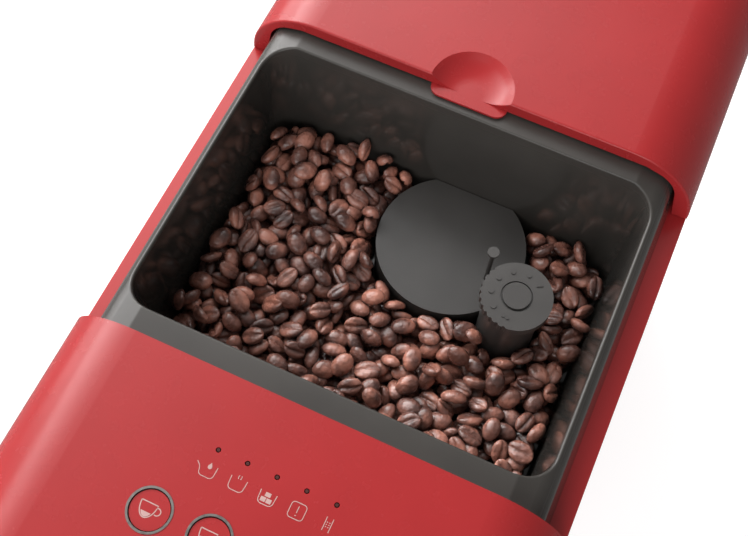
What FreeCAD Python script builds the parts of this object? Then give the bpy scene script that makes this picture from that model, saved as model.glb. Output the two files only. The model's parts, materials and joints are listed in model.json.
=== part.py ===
"""Bean-to-cup coffee machine with an open bean hopper, as separate named pieces.

Millimetres. Front faces -Y, up is +Z, origin at the middle of the footprint on the floor.
"""
import FreeCAD
import Part
import Sketcher
import math
import os

Vector = FreeCAD.Vector
doc = FreeCAD.newDocument("coffee_machine")
sheet = doc.addObject("Spreadsheet::Sheet", "dims")
pieces = []


# Sizes that carry both a number and the cell expression behind it
class Dim:
    def __init__(self, value, text):
        self.value = value
        self.text = text

    def __add__(self, other):
        other = dim(other)
        return Dim(self.value + other.value, f"({self.text} + {other.text})")

    def __sub__(self, other):
        other = dim(other)
        return Dim(self.value - other.value, f"({self.text} - {other.text})")

    def __mul__(self, other):
        other = dim(other)
        return Dim(self.value * other.value, f"({self.text} * {other.text})")

    def __truediv__(self, other):
        other = dim(other)
        return Dim(self.value / other.value, f"({self.text} / {other.text})")

    def __neg__(self):
        return Dim(-self.value, f"(-{self.text})")


def dim(number):
    return number if isinstance(number, Dim) else Dim(float(number), f"({float(number)!r})")


def size(alias, number):
    row = size.rows = getattr(size, "rows", 0) + 1
    sheet.set(f"A{row}", alias)
    sheet.set(f"B{row}", str(number))
    sheet.setAlias(f"B{row}", alias)
    return Dim(float(number), f"dims.{alias}")


def bind(thing, field, number):
    thing.setExpression(field, dim(number).text)


def move_to(thing, x=0, y=0, z=0):
    for axis, number in zip("xyz", (x, y, z)):
        bind(thing, f"Placement.Base.{axis}", number)
    return thing


def piece(label, thing):
    thing.Label = label
    pieces.append(thing)
    return thing


# Solids from boxes, cylinders and booleans
def box(x0, x1, y0, y1, z0, z1):
    block = doc.addObject("Part::Box", "block")
    for field, low, high in (("Length", x0, x1), ("Width", y0, y1), ("Height", z0, z1)):
        bind(block, field, dim(high) - low)
    return move_to(block, x0, y0, z0)


def rod(x, y, z0, z1, radius):
    turned = doc.addObject("Part::Cylinder", "rod")
    bind(turned, "Radius", radius)
    bind(turned, "Height", dim(z1) - z0)
    return move_to(turned, x, y, z0)


def rod_back(x, z, y0, y1, radius):
    turned = doc.addObject("Part::Cylinder", "rod_back")
    turned.Placement.Rotation = FreeCAD.Rotation(Vector(1, 0, 0), -90)
    bind(turned, "Radius", radius)
    bind(turned, "Height", dim(y1) - y0)
    return move_to(turned, x, y0, z)


def fuse(*things):
    joined = doc.addObject("Part::MultiFuse", "joined")
    joined.Shapes = list(things)
    return joined


def common(*things):
    shared = doc.addObject("Part::MultiCommon", "shared")
    shared.Shapes = list(things)
    return shared


def cut(base, *tools):
    trimmed = doc.addObject("Part::Cut", "trimmed")
    trimmed.Base = base
    trimmed.Tool = tools[0] if len(tools) == 1 else fuse(*tools)
    return trimmed


def group(*things):
    bundle = doc.addObject("Part::Compound", "bundle")
    bundle.Links = list(things)
    return bundle


# A closed sketch through corner points (x, y) or (x, y, corner radius)
def outline(sketch, corners):
    count = len(corners)
    spots = [Vector(dim(c[0]).value, dim(c[1]).value, 0) for c in corners]
    trims = []
    for i, corner in enumerate(corners):
        before = (spots[i - 1] - spots[i]).normalize()
        after = (spots[(i + 1) % count] - spots[i]).normalize()
        radius = dim(corner[2]).value if len(corner) > 2 else 0
        half = math.acos(max(-1, min(1, before.dot(after)))) / 2
        reach = radius / math.tan(half)
        leftward = after.cross(before).z > 0
        trims.append((spots[i] + before * reach, spots[i] + after * reach, half, radius, leftward))
    lines = [sketch.addGeometry(Part.LineSegment(trims[i][1], trims[(i + 1) % count][0]), False)
             for i in range(count)]
    for i, corner in enumerate(corners):
        start, end, half, radius, leftward = trims[i]
        last, following = lines[i - 1], lines[i]
        if radius:
            inward = ((start + end) * 0.5 - spots[i]).normalize()
            middle = spots[i] + inward * (radius / math.sin(half) - radius)
            first, second = (1, 2) if leftward else (2, 1)
            sweep = (start, middle, end) if leftward else (end, middle, start)
            arc = sketch.addGeometry(Part.Arc(*sweep), False)
            sketch.addConstraint(Sketcher.Constraint("Tangent", last, 2, arc, first))
            sketch.addConstraint(Sketcher.Constraint("Tangent", arc, second, following, 1))
            rounded = sketch.addConstraint(Sketcher.Constraint("Radius", arc, radius))
            bind(sketch, f"Constraints[{rounded}]", corner[2])
            tip = sketch.addGeometry(Part.Point(spots[i]), True)
            sketch.addConstraint(Sketcher.Constraint("PointOnObject", tip, 1, last))
            sketch.addConstraint(Sketcher.Constraint("PointOnObject", tip, 1, following))
        else:
            sketch.addConstraint(Sketcher.Constraint("Coincident", last, 2, following, 1))
            tip = following
        for kind, number in (("DistanceX", corner[0]), ("DistanceY", corner[1])):
            held = sketch.addConstraint(
                Sketcher.Constraint(kind, -1, 1, tip, 1, dim(number).value))
            bind(sketch, f"Constraints[{held}]", number)
    return sketch


def flat_sketch(corners, z=0, holder=doc):
    add = holder.addObject if holder is doc else holder.newObject
    sketch = outline(add("Sketcher::SketchObject", "plan"), corners)
    bind(sketch, "Placement.Base.z", z)
    return sketch


def front_sketch(corners, y=0, holder=doc):
    add = holder.addObject if holder is doc else holder.newObject
    sketch = outline(add("Sketcher::SketchObject", "section"), corners)
    sketch.Placement.Rotation = FreeCAD.Rotation(Vector(1, 0, 0), 90)
    bind(sketch, "Placement.Base.y", y)
    return sketch


def side_sketch(corners, x=0):
    sketch = outline(doc.addObject("Sketcher::SketchObject", "side"), corners)
    sketch.Placement.Rotation = FreeCAD.Rotation(Vector(1, 1, 1), 120)
    bind(sketch, "Placement.Base.x", x)
    return sketch


def extrude(sketch, direction, length):
    solid = doc.addObject("Part::Extrusion", "extruded")
    solid.Base = sketch
    solid.DirMode = "Custom"
    solid.Dir = direction
    solid.Solid = True
    bind(solid, "LengthFwd", length)
    return solid


def slab(corners, z0, z1):
    return extrude(flat_sketch(corners, z0), Vector(0, 0, 1), dim(z1) - z0)


def run_back(corners, y0, y1):
    return extrude(front_sketch(corners, y0), Vector(0, 1, 0), dim(y1) - y0)


def loft(*sketches):
    solid = doc.addObject("Part::Loft", "lofted")
    solid.Sections = list(sketches)
    solid.Solid = True
    return solid


# Bodies made feature by feature
def new_body(label):
    return piece(label, doc.addObject("PartDesign::Body", label))


def pad(body, corners, z0, z1):
    feature = body.newObject("PartDesign::Pad", "pad")
    feature.Profile = flat_sketch(corners, z0, body)
    bind(feature, "Length", dim(z1) - z0)
    return feature


def pocket(body, corners, z0, z1):
    feature = body.newObject("PartDesign::Pocket", "pocket")
    feature.Profile = flat_sketch(corners, z1, body)
    bind(feature, "Length", dim(z1) - z0)
    return feature


def turned_body(label, profile, x=0, y=0):
    body = new_body(label)
    feature = body.newObject("PartDesign::Revolution", "turned")
    feature.Profile = front_sketch(profile, 0, body)
    feature.ReferenceAxis = (feature.Profile[0], ["V_Axis"])
    feature.Angle = 360
    move_to(body, x, y)
    return body


def turned(profile, x=0, y=0):
    solid = doc.addObject("Part::Revolution", "turned")
    solid.Source = front_sketch(profile)
    solid.Axis = Vector(0, 0, 1)
    solid.Angle = 360
    solid.Solid = True
    return move_to(solid, x, y)


# Chosen edges of a finished solid made round
def ease(thing, radius, chosen):
    doc.recompute()
    names = [f"Edge{i}" for i, edge in enumerate(thing.Shape.Edges, 1) if chosen(edge.BoundBox)]
    body = doc.addObject("PartDesign::Body", "eased")
    body.BaseFeature = thing
    rounded = body.newObject("PartDesign::Fillet", "easing")
    rounded.Base = (body.Group[0], names)
    bind(rounded, "Radius", radius)
    return body


def feature(shape):
    holder = doc.addObject("Part::Feature", "shaped")
    holder.Shape = shape
    return holder


def rectangle(x0, x1, y0, y1, front=None, rear=None):
    front = [front] if front is not None else []
    rear = [rear] if rear is not None else []
    return [(x0, y0, *front), (x1, y0, *front), (x1, y1, *rear), (x0, y1, *rear)]


# Involute teeth: a tooth points along the given direction
def gear(teeth, pitch_radius, thickness, direction):
    module = 2 * pitch_radius / teeth
    base = pitch_radius * math.cos(pressure_angle)
    root = pitch_radius - 1.25 * module
    tip = pitch_radius + tooth_height.value * module

    def roll(radius):
        turn = math.acos(min(1, base / radius))
        return math.tan(turn) - turn

    def half_width(radius):
        at_pitch = math.pi / (2 * teeth) - tooth_backlash.value / (2 * pitch_radius)
        return at_pitch + roll(pitch_radius) - roll(max(radius, base))

    flank = [root, max(base, root + 0.01), pitch_radius, tip]
    spots = []
    for tooth in range(teeth):
        centre = direction + 2 * math.pi * tooth / teeth
        rising = [(r, centre - half_width(r)) for r in flank]
        falling = [(r, centre + half_width(r)) for r in reversed(flank)]
        spots += [Vector(r * math.cos(a), r * math.sin(a), 0) for r, a in rising + falling]
    return Part.Face(Part.makePolygon(spots + spots[:1])).extrude(Vector(0, 0, thickness))


# A tube along straight runs joined by bends
def hose(route, radius, bore, bend):
    edges = []
    start = Vector(*route[0])
    for before, corner, after in zip(route, route[1:], route[2:]):
        corner = Vector(*corner)
        back = (Vector(*before) - corner).normalize()
        ahead = (Vector(*after) - corner).normalize()
        half = back.getAngle(ahead) / 2
        reach = bend / math.tan(half)
        inward = (back + ahead).normalize()
        arc_start = corner + back * reach
        arc_end = corner + ahead * reach
        middle = corner + inward * (bend / math.sin(half) - bend)
        edges.append(Part.makeLine(start, arc_start))
        edges.append(Part.Arc(arc_start, middle, arc_end).toShape())
        start = arc_end
    edges.append(Part.makeLine(start, Vector(*route[-1])))
    spine = Part.Wire(edges)
    heading = Vector(*route[1]) - Vector(*route[0])

    def sweep(across):
        ring = Part.Wire(Part.makeCircle(across, Vector(*route[0]), heading))
        return spine.makePipeShell([ring], True, False)

    return sweep(radius).cut(sweep(bore))


# Overall sizes and running clearances
width = size("width", 180)
depth = size("depth", 433)
height = size("height", 339)
play = size("play", 0.3)
shaft_play = size("shaft_play", 0.06)

# Casing sizes
foot_height = size("foot_height", 8)
foot_radius = size("foot_radius", 11)
foot_inset = size("foot_inset", 28)
base_thick = size("base_thick", 4)
panel_wall = size("panel_wall", 2.5)
panel_inset = size("panel_inset", 0.3)
arch_radius = size("arch_radius", 28)
cover_wall = size("cover_wall", 3.8)
lid_gap = size("lid_gap", 2.2)
lid_lift = size("lid_lift", 0.4)
lid_rear_gap = size("lid_rear_gap", 5.1)
deck_wall = size("deck_wall", 2.5)
deck_inset = size("deck_inset", 7)
deck_lean = size("deck_lean", 4)
deck_shoulder_drop = size("deck_shoulder_drop", 3.4)
deck_shoulder_width = size("deck_shoulder_width", 12.2)
deck_roll = size("deck_roll", 3)
shoulder_edge = size("shoulder_edge", 9)
ledge_width = size("ledge_width", 10.2)
nose_setback = size("nose_setback", 18.5)
nose_corner = size("nose_corner", 46)
cover_length = size("cover_length", 118)
head_side_length = size("head_side_length", 70)
head_depth = size("head_depth", 107)
column_setback = size("column_setback", 10)
column_corner = size("column_corner", 14)
tank_length = size("tank_length", 67)
shelf_height = size("shelf_height", 156)
rear_corner = size("rear_corner", 14)
rear_wrap = size("rear_wrap", 31)
vent_count = size("vent_count", 9)
vent_pitch = size("vent_pitch", 8)
vent_width = size("vent_width", 3)
vent_bottom = size("vent_bottom", 92)
vent_height = size("vent_height", 44)

# Places that the pieces share
half = width / 2
panel_half = half - panel_inset
inner_half = panel_half - panel_wall
inside_half = inner_half - play
deck_half = half - deck_inset
deck_shoulder = deck_half - deck_lean
deck_break = deck_shoulder - deck_shoulder_width
ledge_inner = panel_half - ledge_width
front = -depth / 2
rear = depth / 2
base_top = foot_height + base_thick
head_bottom = height - head_depth
lid_rear = rear - lid_rear_gap
ledge = height - arch_radius
deck_top = height - cover_wall - lid_gap
nose = front + nose_setback
cover_rear = nose + cover_length
head_side_front = cover_rear - head_side_length
column_front = cover_rear - column_setback
tank_front = rear - tank_length
rear_wrap_front = rear - rear_wrap

# Hopper sizes
front_rim = size("front_rim", 10)
rear_rim = size("rear_rim", 7.2)
opening_margin = size("opening_margin", 14)
opening_length = size("opening_length", 114.2)
opening_corner = size("opening_corner", 11.5)
mouth_round = size("mouth_round", 0.8)
hopper_depth = size("hopper_depth", 72)
hopper_draft = size("hopper_draft", 2.7)
hopper_wall = size("hopper_wall", 2.2)
hopper_floor = size("hopper_floor", 2.5)
hopper_tuck = size("hopper_tuck", 8)
hopper_tail = size("hopper_tail", 9)
catch_width = size("catch_width", 15)
catch_length = size("catch_length", 3)
catch_depth = size("catch_depth", 1.2)
bean_level = size("bean_level", 20)
opening_width = width - opening_margin * 2
opening_front = cover_rear + front_rim
opening_rear = opening_front + opening_length
lid_front = opening_rear + rear_rim
hopper_rear = lid_front + hopper_tail
floor_top = deck_top - hopper_depth
floor_bottom = floor_top - hopper_floor

# Lid scoop sizes
scoop_radius = size("scoop_radius", 15.5)
scoop_depth = size("scoop_depth", 4.6)
scoop_set_in = size("scoop_set_in", 1)
scoop_floor_radius = size("scoop_floor_radius", 9.5)
scoop_roll = size("scoop_roll", 14)
tongue_reach = size("tongue_reach", 4.4)
tongue_half = size("tongue_half", 14.8)
tongue_corner = size("tongue_corner", 4.2)
tongue_thick = size("tongue_thick", 0.9)
lip_gap = size("lip_gap", 1.1)
lip_shoulder = size("lip_shoulder", 12)
lid_edge = size("lid_edge", 0.8)

# Grinder sizes
tower_x = size("tower_x", 12.1)
tower_setback = size("tower_setback", 26.6)
tower_radius = size("tower_radius", 29.6)
tower_rise = size("tower_rise", 23.4)
tower_wall = size("tower_wall", 2)
window_height = size("window_height", 10)
window_width = size("window_width", 22)
dial_dx = size("dial_dx", 31.8)
dial_dy = size("dial_dy", -20.8)
dial_radius = size("dial_radius", 13.3)
dial_thick = size("dial_thick", 4)
dial_height = size("dial_height", 44)
dial_cap = size("dial_cap", 5.2)
dial_cap_rise = size("dial_cap_rise", 0.6)
dial_groove = size("dial_groove", 0.7)
scallop_radius = size("scallop_radius", 0.8)
scallop_count = size("scallop_count", 11)
scallop_start = size("scallop_start", 150)
scallop_step = size("scallop_step", 12)
mark_ring = size("mark_ring", 9.4)
mark_rise = size("mark_rise", 0.4)
mark_radius = size("mark_radius", 1.15)
mark_shrink = size("mark_shrink", 0.1)
mark_start = size("mark_start", 228)
mark_step = size("mark_step", 36.5)
mark_twin = size("mark_twin", 5)
post_radius = size("post_radius", 11)
spindle_radius = size("spindle_radius", 3)
spindle_grip = size("spindle_grip", 2)
pin_dx = size("pin_dx", 17.7)
pin_dy = size("pin_dy", -7.5)
pin_radius = size("pin_radius", 0.9)
pin_head = size("pin_head", 2.2)
pin_head_thick = size("pin_head_thick", 1.2)
pin_rise = size("pin_rise", 23.6)
throat_radius = size("throat_radius", 19)
ring_teeth = size("ring_teeth", 46)
pinion_teeth = size("pinion_teeth", 14)
tooth_height = size("tooth_height", 0.9)
tooth_backlash = size("tooth_backlash", 0.3)
pressure_angle = math.radians(20)
adjuster_thick = size("adjuster_thick", 8)
adjuster_drop = size("adjuster_drop", 1)
burr_ring_radius = size("burr_ring_radius", 20.7)
burr_ring_height = size("burr_ring_height", 17)
burr_ring_throat = size("burr_ring_throat", 17)
burr_ring_exit = size("burr_ring_exit", 17.6)
burr_drop = size("burr_drop", 2)
cone_foot = size("cone_foot", 16.2)
cone_top = size("cone_top", 8)
flute_count = size("flute_count", 12)
flute_radius = size("flute_radius", 1.2)
housing_wall = size("housing_wall", 3)
housing_depth = size("housing_depth", 30)
exit_half = size("exit_half", 9)
burr_shaft_radius = size("burr_shaft_radius", 5)
drive_reach = size("drive_reach", 30)
drive_gear_thick = size("drive_gear_thick", 7)
gear_case_depth = size("gear_case_depth", 16)
gear_case_wall = size("gear_case_wall", 2.5)
gear_room = size("gear_room", 1.5)
motor_radius = size("motor_radius", 21)
motor_length = size("motor_length", 60)
motor_shaft_radius = size("motor_shaft_radius", 3)
motor_shaft_grip = size("motor_shaft_grip", 20)
tower_y = opening_rear - tower_setback
dial_x = tower_x + dial_dx
dial_y = tower_y + dial_dy
tower_top = floor_top + tower_rise
dial_bottom = floor_top + dial_height
dial_top = dial_bottom + dial_thick
adjuster_top = floor_bottom - adjuster_drop
adjuster_bottom = adjuster_top - adjuster_thick
housing_bottom = floor_bottom - housing_depth
chamber_floor = housing_bottom + housing_wall
burr_top = floor_bottom - burr_drop
burr_bottom = burr_top - burr_ring_height
case_bottom = housing_bottom - gear_case_depth
drive_gear_bottom = case_bottom + gear_case_wall + housing_wall
motor_y = tower_y + drive_reach
dial_reach = math.hypot(dial_dx.value, dial_dy.value)
dial_heading = math.atan2(dial_dy.value, dial_dx.value)
teeth_in_mesh = ring_teeth.value + pinion_teeth.value
ring_share = ring_teeth.value / teeth_in_mesh
pinion_share = pinion_teeth.value / teeth_in_mesh
half_tooth = math.pi / ring_teeth.value

# Control panel sizes
button_pitch = size("button_pitch", 20)
button_row_gap = size("button_row_gap", 22)
button_setback = size("button_setback", 48)
button_radius = size("button_radius", 6.2)
button_recess = size("button_recess", 0.3)
button_length = size("button_length", 7.2)
button_flange = size("button_flange", 8.2)
button_flange_thick = size("button_flange_thick", 1.8)
button_stem = size("button_stem", 2.5)
button_stem_length = size("button_stem_length", 4.2)
ring_outer = size("ring_outer", 7.25)
ring_band = size("ring_band", 0.75)
ring_sink = size("ring_sink", 1.2)
ring_proud = size("ring_proud", 0.2)
light_pitch = size("light_pitch", 10)
light_setback = size("light_setback", 23.3)
light_radius = size("light_radius", 0.55)
board_half = size("board_half", 50)
board_length = size("board_length", 68)
board_setback = size("board_setback", 17)
board_thick = size("board_thick", 1.6)
board_drop = size("board_drop", 12.8)
board_boss = size("board_boss", 4)
board_boss_inset = size("board_boss_inset", 6)
board_screw = size("board_screw", 1.4)
board_screw_head = size("board_screw_head", 2.7)
board_screw_length = size("board_screw_length", 8)
switch_half = size("switch_half", 3)
switch_height = size("switch_height", 3.4)
board_top = height - cover_wall - board_drop
board_rear = cover_rear - board_setback
board_front = board_rear - board_length
button_top = height - button_recess
button_bottom = button_top - button_length
button_row = cover_rear - button_setback
button_spots = [(button_pitch * (column - 1.5), button_row - button_row_gap * row)
                for row in range(2) for column in range(4)]
light_spots = [(light_pitch * (place - 2), cover_rear - light_setback) for place in range(5)]
board_boss_spots = [(side * (board_half - board_boss_inset), y)
                    for side in (dim(-1), dim(1))
                    for y in (board_front + board_boss_inset, board_rear - board_boss_inset)]

# Brewing sizes
chassis_setback = size("chassis_setback", 73)
chassis_thick = size("chassis_thick", 2.5)
brew_half = size("brew_half", 36)
brew_length = size("brew_length", 65)
chute_fall = size("chute_fall", 26.5)
brew_height = size("brew_height", 98)
brew_plate = size("brew_plate", 6)
brew_cheek = size("brew_cheek", 4)
chamber_radius = size("chamber_radius", 25)
chamber_bore = size("chamber_bore", 21)
chamber_flange = size("chamber_flange", 29)
chamber_flange_thick = size("chamber_flange_thick", 4)
chamber_hang = size("chamber_hang", 62)
chamber_neck = size("chamber_neck", 8)
piston_thick = size("piston_thick", 10)
piston_groove = size("piston_groove", 1.2)
piston_height = size("piston_height", 46)
piston_rod = size("piston_rod", 9)
piston_rod_length = size("piston_rod_length", 34)
screw_radius = size("screw_radius", 4)
screw_above = size("screw_above", 43)
screw_below = size("screw_below", 12)
screw_collar = size("screw_collar", 7)
screw_collar_thick = size("screw_collar_thick", 3)
brew_motor_half = size("brew_motor_half", 23)
brew_motor_height = size("brew_motor_height", 24)
chassis_front = column_front + chassis_setback
chassis_back = chassis_front + chassis_thick
brew_front = chassis_front - brew_length
brew_y = chassis_front - brew_length / 2
brew_top = housing_bottom - chute_fall
brew_floor = brew_top - brew_height
brew_deck = brew_floor + brew_plate

# Water sizes
boiler_half = size("boiler_half", 18)
boiler_gap = size("boiler_gap", 6.9)
boiler_length = size("boiler_length", 44)
boiler_lift = size("boiler_lift", 4)
boiler_height = size("boiler_height", 84)
boiler_groove = size("boiler_groove", 4)
pump_gap = size("pump_gap", 18.9)
pump_radius = size("pump_radius", 18)
pump_setback = size("pump_setback", 25)
pump_lead = size("pump_lead", 15)
pump_tail = size("pump_tail", 33)
pump_lift = size("pump_lift", 22)
pump_foot = size("pump_foot", 12)
hose_radius = size("hose_radius", 3)
hose_bore = size("hose_bore", 2)
hose_bend = size("hose_bend", 9)
nipple_length = size("nipple_length", 5)
tank_wall = size("tank_wall", 2.5)
tank_lid_thick = size("tank_lid_thick", 2.6)
valve_rise = size("valve_rise", 20)
valve_radius = size("valve_radius", 8)
valve_reach = size("valve_reach", 10)
valve_flange = size("valve_flange", 12)
valve_flange_thick = size("valve_flange_thick", 3)
socket_radius = size("socket_radius", 13)
socket_length = size("socket_length", 14)
boiler_x = boiler_gap + boiler_half - inside_half
boiler_y = chassis_back + boiler_length / 2
boiler_bottom = brew_floor + boiler_lift
pump_x = pump_gap + pump_radius - inside_half
pump_z = base_top + pump_lift
pump_front = chassis_back + pump_setback
boiler_inlet = pump_front - pump_lead
valve_x = pump_x
tank_bottom = dim(shelf_height) + play
tank_top = ledge - tank_lid_thick - play
valve_z = tank_bottom + valve_rise
bulkhead_rear = tank_front - play
bulkhead_front = bulkhead_rear - panel_wall
socket_front = bulkhead_front - socket_length
pump_rear = socket_front - pump_tail

# Cup side sizes
tray_height = size("tray_height", 48)
tray_wall = size("tray_wall", 2.5)
tray_corner = size("tray_corner", 48)
tray_ledge = size("tray_ledge", 2.5)
sled_gap = size("sled_gap", 6.9)
grille_thick = size("grille_thick", 2)
slot_count = size("slot_count", 13)
slot_margin = size("slot_margin", 24)
slot_width = size("slot_width", 5)
slot_length = size("slot_length", 42)
slot_gap = size("slot_gap", 10)
float_x = size("float_x", 0)
float_setback = size("float_setback", 11)
float_radius = size("float_radius", 7)
float_body = size("float_body", 12)
float_stem = size("float_stem", 3)
float_proud = size("float_proud", 2)
bin_inset = size("bin_inset", 2)
bin_clear = size("bin_clear", 7.1)
bin_wall = size("bin_wall", 2)
spout_half = size("spout_half", 22)
spout_length = size("spout_length", 44)
spout_setback = size("spout_setback", 26)
spout_corner = size("spout_corner", 9)
spout_hang = size("spout_hang", 18)
spout_height = size("spout_height", 84)
spout_wall = size("spout_wall", 3)
nozzle_spread = size("nozzle_spread", 11)
nozzle_radius = size("nozzle_radius", 6)
nozzle_bore = size("nozzle_bore", 4)
nozzle_length = size("nozzle_length", 8)
guide_wall = size("guide_wall", 2.5)
guide_height = size("guide_height", 28)
door_front = size("door_front", 8)
door_length = size("door_length", 62)
door_drop = size("door_drop", 12)
door_height = size("door_height", 130)
door_corner = size("door_corner", 8)
tray_bottom = base_top + lid_lift
tray_top = tray_bottom + tray_height
tray_floor = tray_bottom + tray_wall
tray_rear = column_front - lid_lift
sled_half = inside_half - sled_gap
bin_half = sled_half - bin_inset
bin_height = brew_floor - brew_motor_height - bin_clear - tray_floor
slot_pitch = (width - slot_margin * 2) / (slot_count - 1)
spout_bottom = head_bottom - spout_hang
door_bottom = brew_floor - door_drop
sled_rear = chassis_front - 1
spout_rear = column_front - spout_setback
spout_front = spout_rear - spout_length
spout_y = spout_rear - spout_length / 2

# Electrical sizes
power_board_gap = size("power_board_gap", 17.2)
power_board_lead = size("power_board_lead", 34.5)
power_board_tail = size("power_board_tail", 26.7)
power_board_bottom = size("power_board_bottom", 24)
power_board_height = size("power_board_height", 90)
standoff_radius = size("standoff_radius", 3)
standoff_inset = size("standoff_inset", 8)
inlet_inset = size("inlet_inset", 38)
inlet_z = size("inlet_z", 70)
inlet_half_width = size("inlet_half_width", 14)
inlet_half_height = size("inlet_half_height", 11)
inlet_length = size("inlet_length", 24)
inlet_wall = size("inlet_wall", 2)
inlet_back = size("inlet_back", 6)
relay_height = size("relay_height", 22)
relay_depth = size("relay_depth", 14)
power_board_x = inner_half - power_board_gap
power_board_front = chassis_back + power_board_lead
power_board_rear = bulkhead_front - power_board_tail
power_board_length = power_board_rear - power_board_front
inlet_x = half - inlet_inset
doc.recompute()


# Outline of the deck under the lid, shrunk inward for its underside
def deck_section(shrink, bottom, edge=shoulder_edge):
    top = deck_top - shrink
    side = deck_half - shrink
    shoulder = deck_shoulder - shrink
    drop = top - deck_shoulder_drop
    bend = deck_break - shrink
    return [(-side, bottom), (side, bottom), (shoulder, drop, edge),
            (bend, top, deck_roll), (-bend, top, deck_roll), (-shoulder, drop, edge)]


def arch_section(shrink, bottom):
    side = half - shrink
    top = height - shrink
    rounding = arch_radius - shrink
    return [(-side, bottom), (side, bottom), (side, top, rounding), (-side, top, rounding)]


def head_plan(side, tip, back, corner):
    return rectangle(-side, side, tip, back, front=corner)


# Base pan and feet
def make_base():
    body = new_body("base_pan")
    pad(body, rectangle(-panel_half, panel_half, front + panel_inset * 12, rear - panel_inset,
                        front=tray_corner, rear=rear_corner), foot_height, base_top)
    feet = [turned([(0, 0), (foot_radius - 2, 0), (foot_radius, 2), (foot_radius, foot_height),
                    (0, foot_height)], side * (half - foot_inset), y)
            for side in (dim(-1), dim(1))
            for y in (front + foot_inset * 2, rear - foot_inset * 1.5)]
    piece("feet", group(*feet))


# Side panels, each with the ledge that carries the hopper and the lid
def side_panel(sign):
    outer = panel_half * sign
    wall = side_sketch([
        (column_front, base_top), (rear_wrap_front, base_top), (rear_wrap_front, shelf_height),
        (bulkhead_rear, shelf_height), (bulkhead_rear, ledge), (head_side_front, ledge),
        (head_side_front, head_bottom), (column_front, head_bottom, column_corner)], outer)
    inward = extrude(wall, Vector(-sign, 0, 0), panel_wall)
    low, high = (ledge_inner, panel_half) if sign > 0 else (-panel_half, -ledge_inner)
    shelf = box(low, high, cover_rear - hopper_tuck, bulkhead_rear, ledge - panel_wall, ledge)
    return fuse(inward, shelf)


def door_corners(gap):
    y0 = column_front + door_front + gap
    y1 = column_front + door_front + door_length - gap
    z0 = door_bottom + gap
    z1 = door_bottom + door_height - gap
    return [(y0, z0, door_corner), (y1, z0, door_corner), (y1, z1, door_corner),
            (y0, z1, door_corner)]


def make_sides():
    piece("left_side_panel", side_panel(-1))
    hole = extrude(side_sketch(door_corners(dim(0)), inner_half - 1), Vector(1, 0, 0),
                   panel_wall + 2)
    piece("right_side_panel", cut(side_panel(1), hole))
    piece("service_door", extrude(side_sketch(door_corners(play), inner_half), Vector(1, 0, 0),
                                  panel_wall))


# Front of the machine: nose, underside of the head, panel behind the cups
def make_front():
    outer = slab(head_plan(panel_half, nose + panel_inset, head_side_front, nose_corner),
                 head_bottom, ledge)
    inner = slab(head_plan(inner_half, nose + panel_inset + panel_wall, head_side_front + 1,
                           nose_corner - panel_wall), head_bottom - 1, ledge + 1)
    piece("nose_panel", cut(outer, inner))
    plate = slab(head_plan(inside_half, nose + panel_inset + panel_wall + play,
                           column_front + panel_wall, nose_corner - panel_wall - play),
                 head_bottom, head_bottom + panel_wall)
    sleeve = slab(spout_plan(guide_wall + play), head_bottom, head_bottom + guide_height)
    passage = slab(spout_plan(play), head_bottom - 1, head_bottom + guide_height + 1)
    piece("head_underside", cut(fuse(plate, sleeve), passage))
    piece("front_panel", box(-inside_half, inside_half, column_front, column_front + panel_wall,
                             tray_floor + bin_height + 3, head_bottom))


# Top cover over the head with holes for the buttons and lights
def make_front_cover():
    body = doc.addObject("PartDesign::Body", "cover_shell")
    shell = pad(body, head_plan(half, nose, cover_rear, nose_corner), ledge - cover_wall, height)
    doc.recompute()
    outer = round_top(body, shell, height, arch_radius)
    inner_body = doc.addObject("PartDesign::Body", "cover_room")
    room = pad(inner_body, head_plan(half - cover_wall, nose + cover_wall, cover_rear + 1,
                                     nose_corner - cover_wall), ledge - cover_wall * 2,
               height - cover_wall)
    doc.recompute()
    inner = round_top(inner_body, room, height - cover_wall, arch_radius - cover_wall)
    bosses = [rod(x, y, board_top, height - cover_wall, board_boss) for x, y in board_boss_spots]
    holes = [rod(x, y, board_top - 1, board_top + board_screw_length, dim(board_screw))
             for x, y in board_boss_spots]
    for x, y in button_spots:
        holes.append(rod(x, y, ledge, height + 1, button_radius + play))
        holes.append(rod(x, y, height - ring_sink, height + 1, ring_outer))
    holes += [rod(x, y, ledge, height + 1, light_radius + play) for x, y in light_spots]
    below = box(-width, width, nose - 1, cover_rear + 1, ledge - cover_wall * 2, ledge)
    piece("front_cover", cut(fuse(cut(outer, inner), *bosses), below, *holes))


def round_top(body, base, top, radius):
    names = [f"Edge{i}" for i, edge in enumerate(base.Shape.Edges, 1)
             if abs(edge.BoundBox.ZMin - dim(top).value) < 0.01
             and edge.BoundBox.ZLength < 0.01
             and edge.BoundBox.YMin < dim(cover_rear).value - 0.5]
    rounded = body.newObject("PartDesign::Fillet", "rounded")
    rounded.Base = (base, names)
    bind(rounded, "Radius", radius)
    return body


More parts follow.
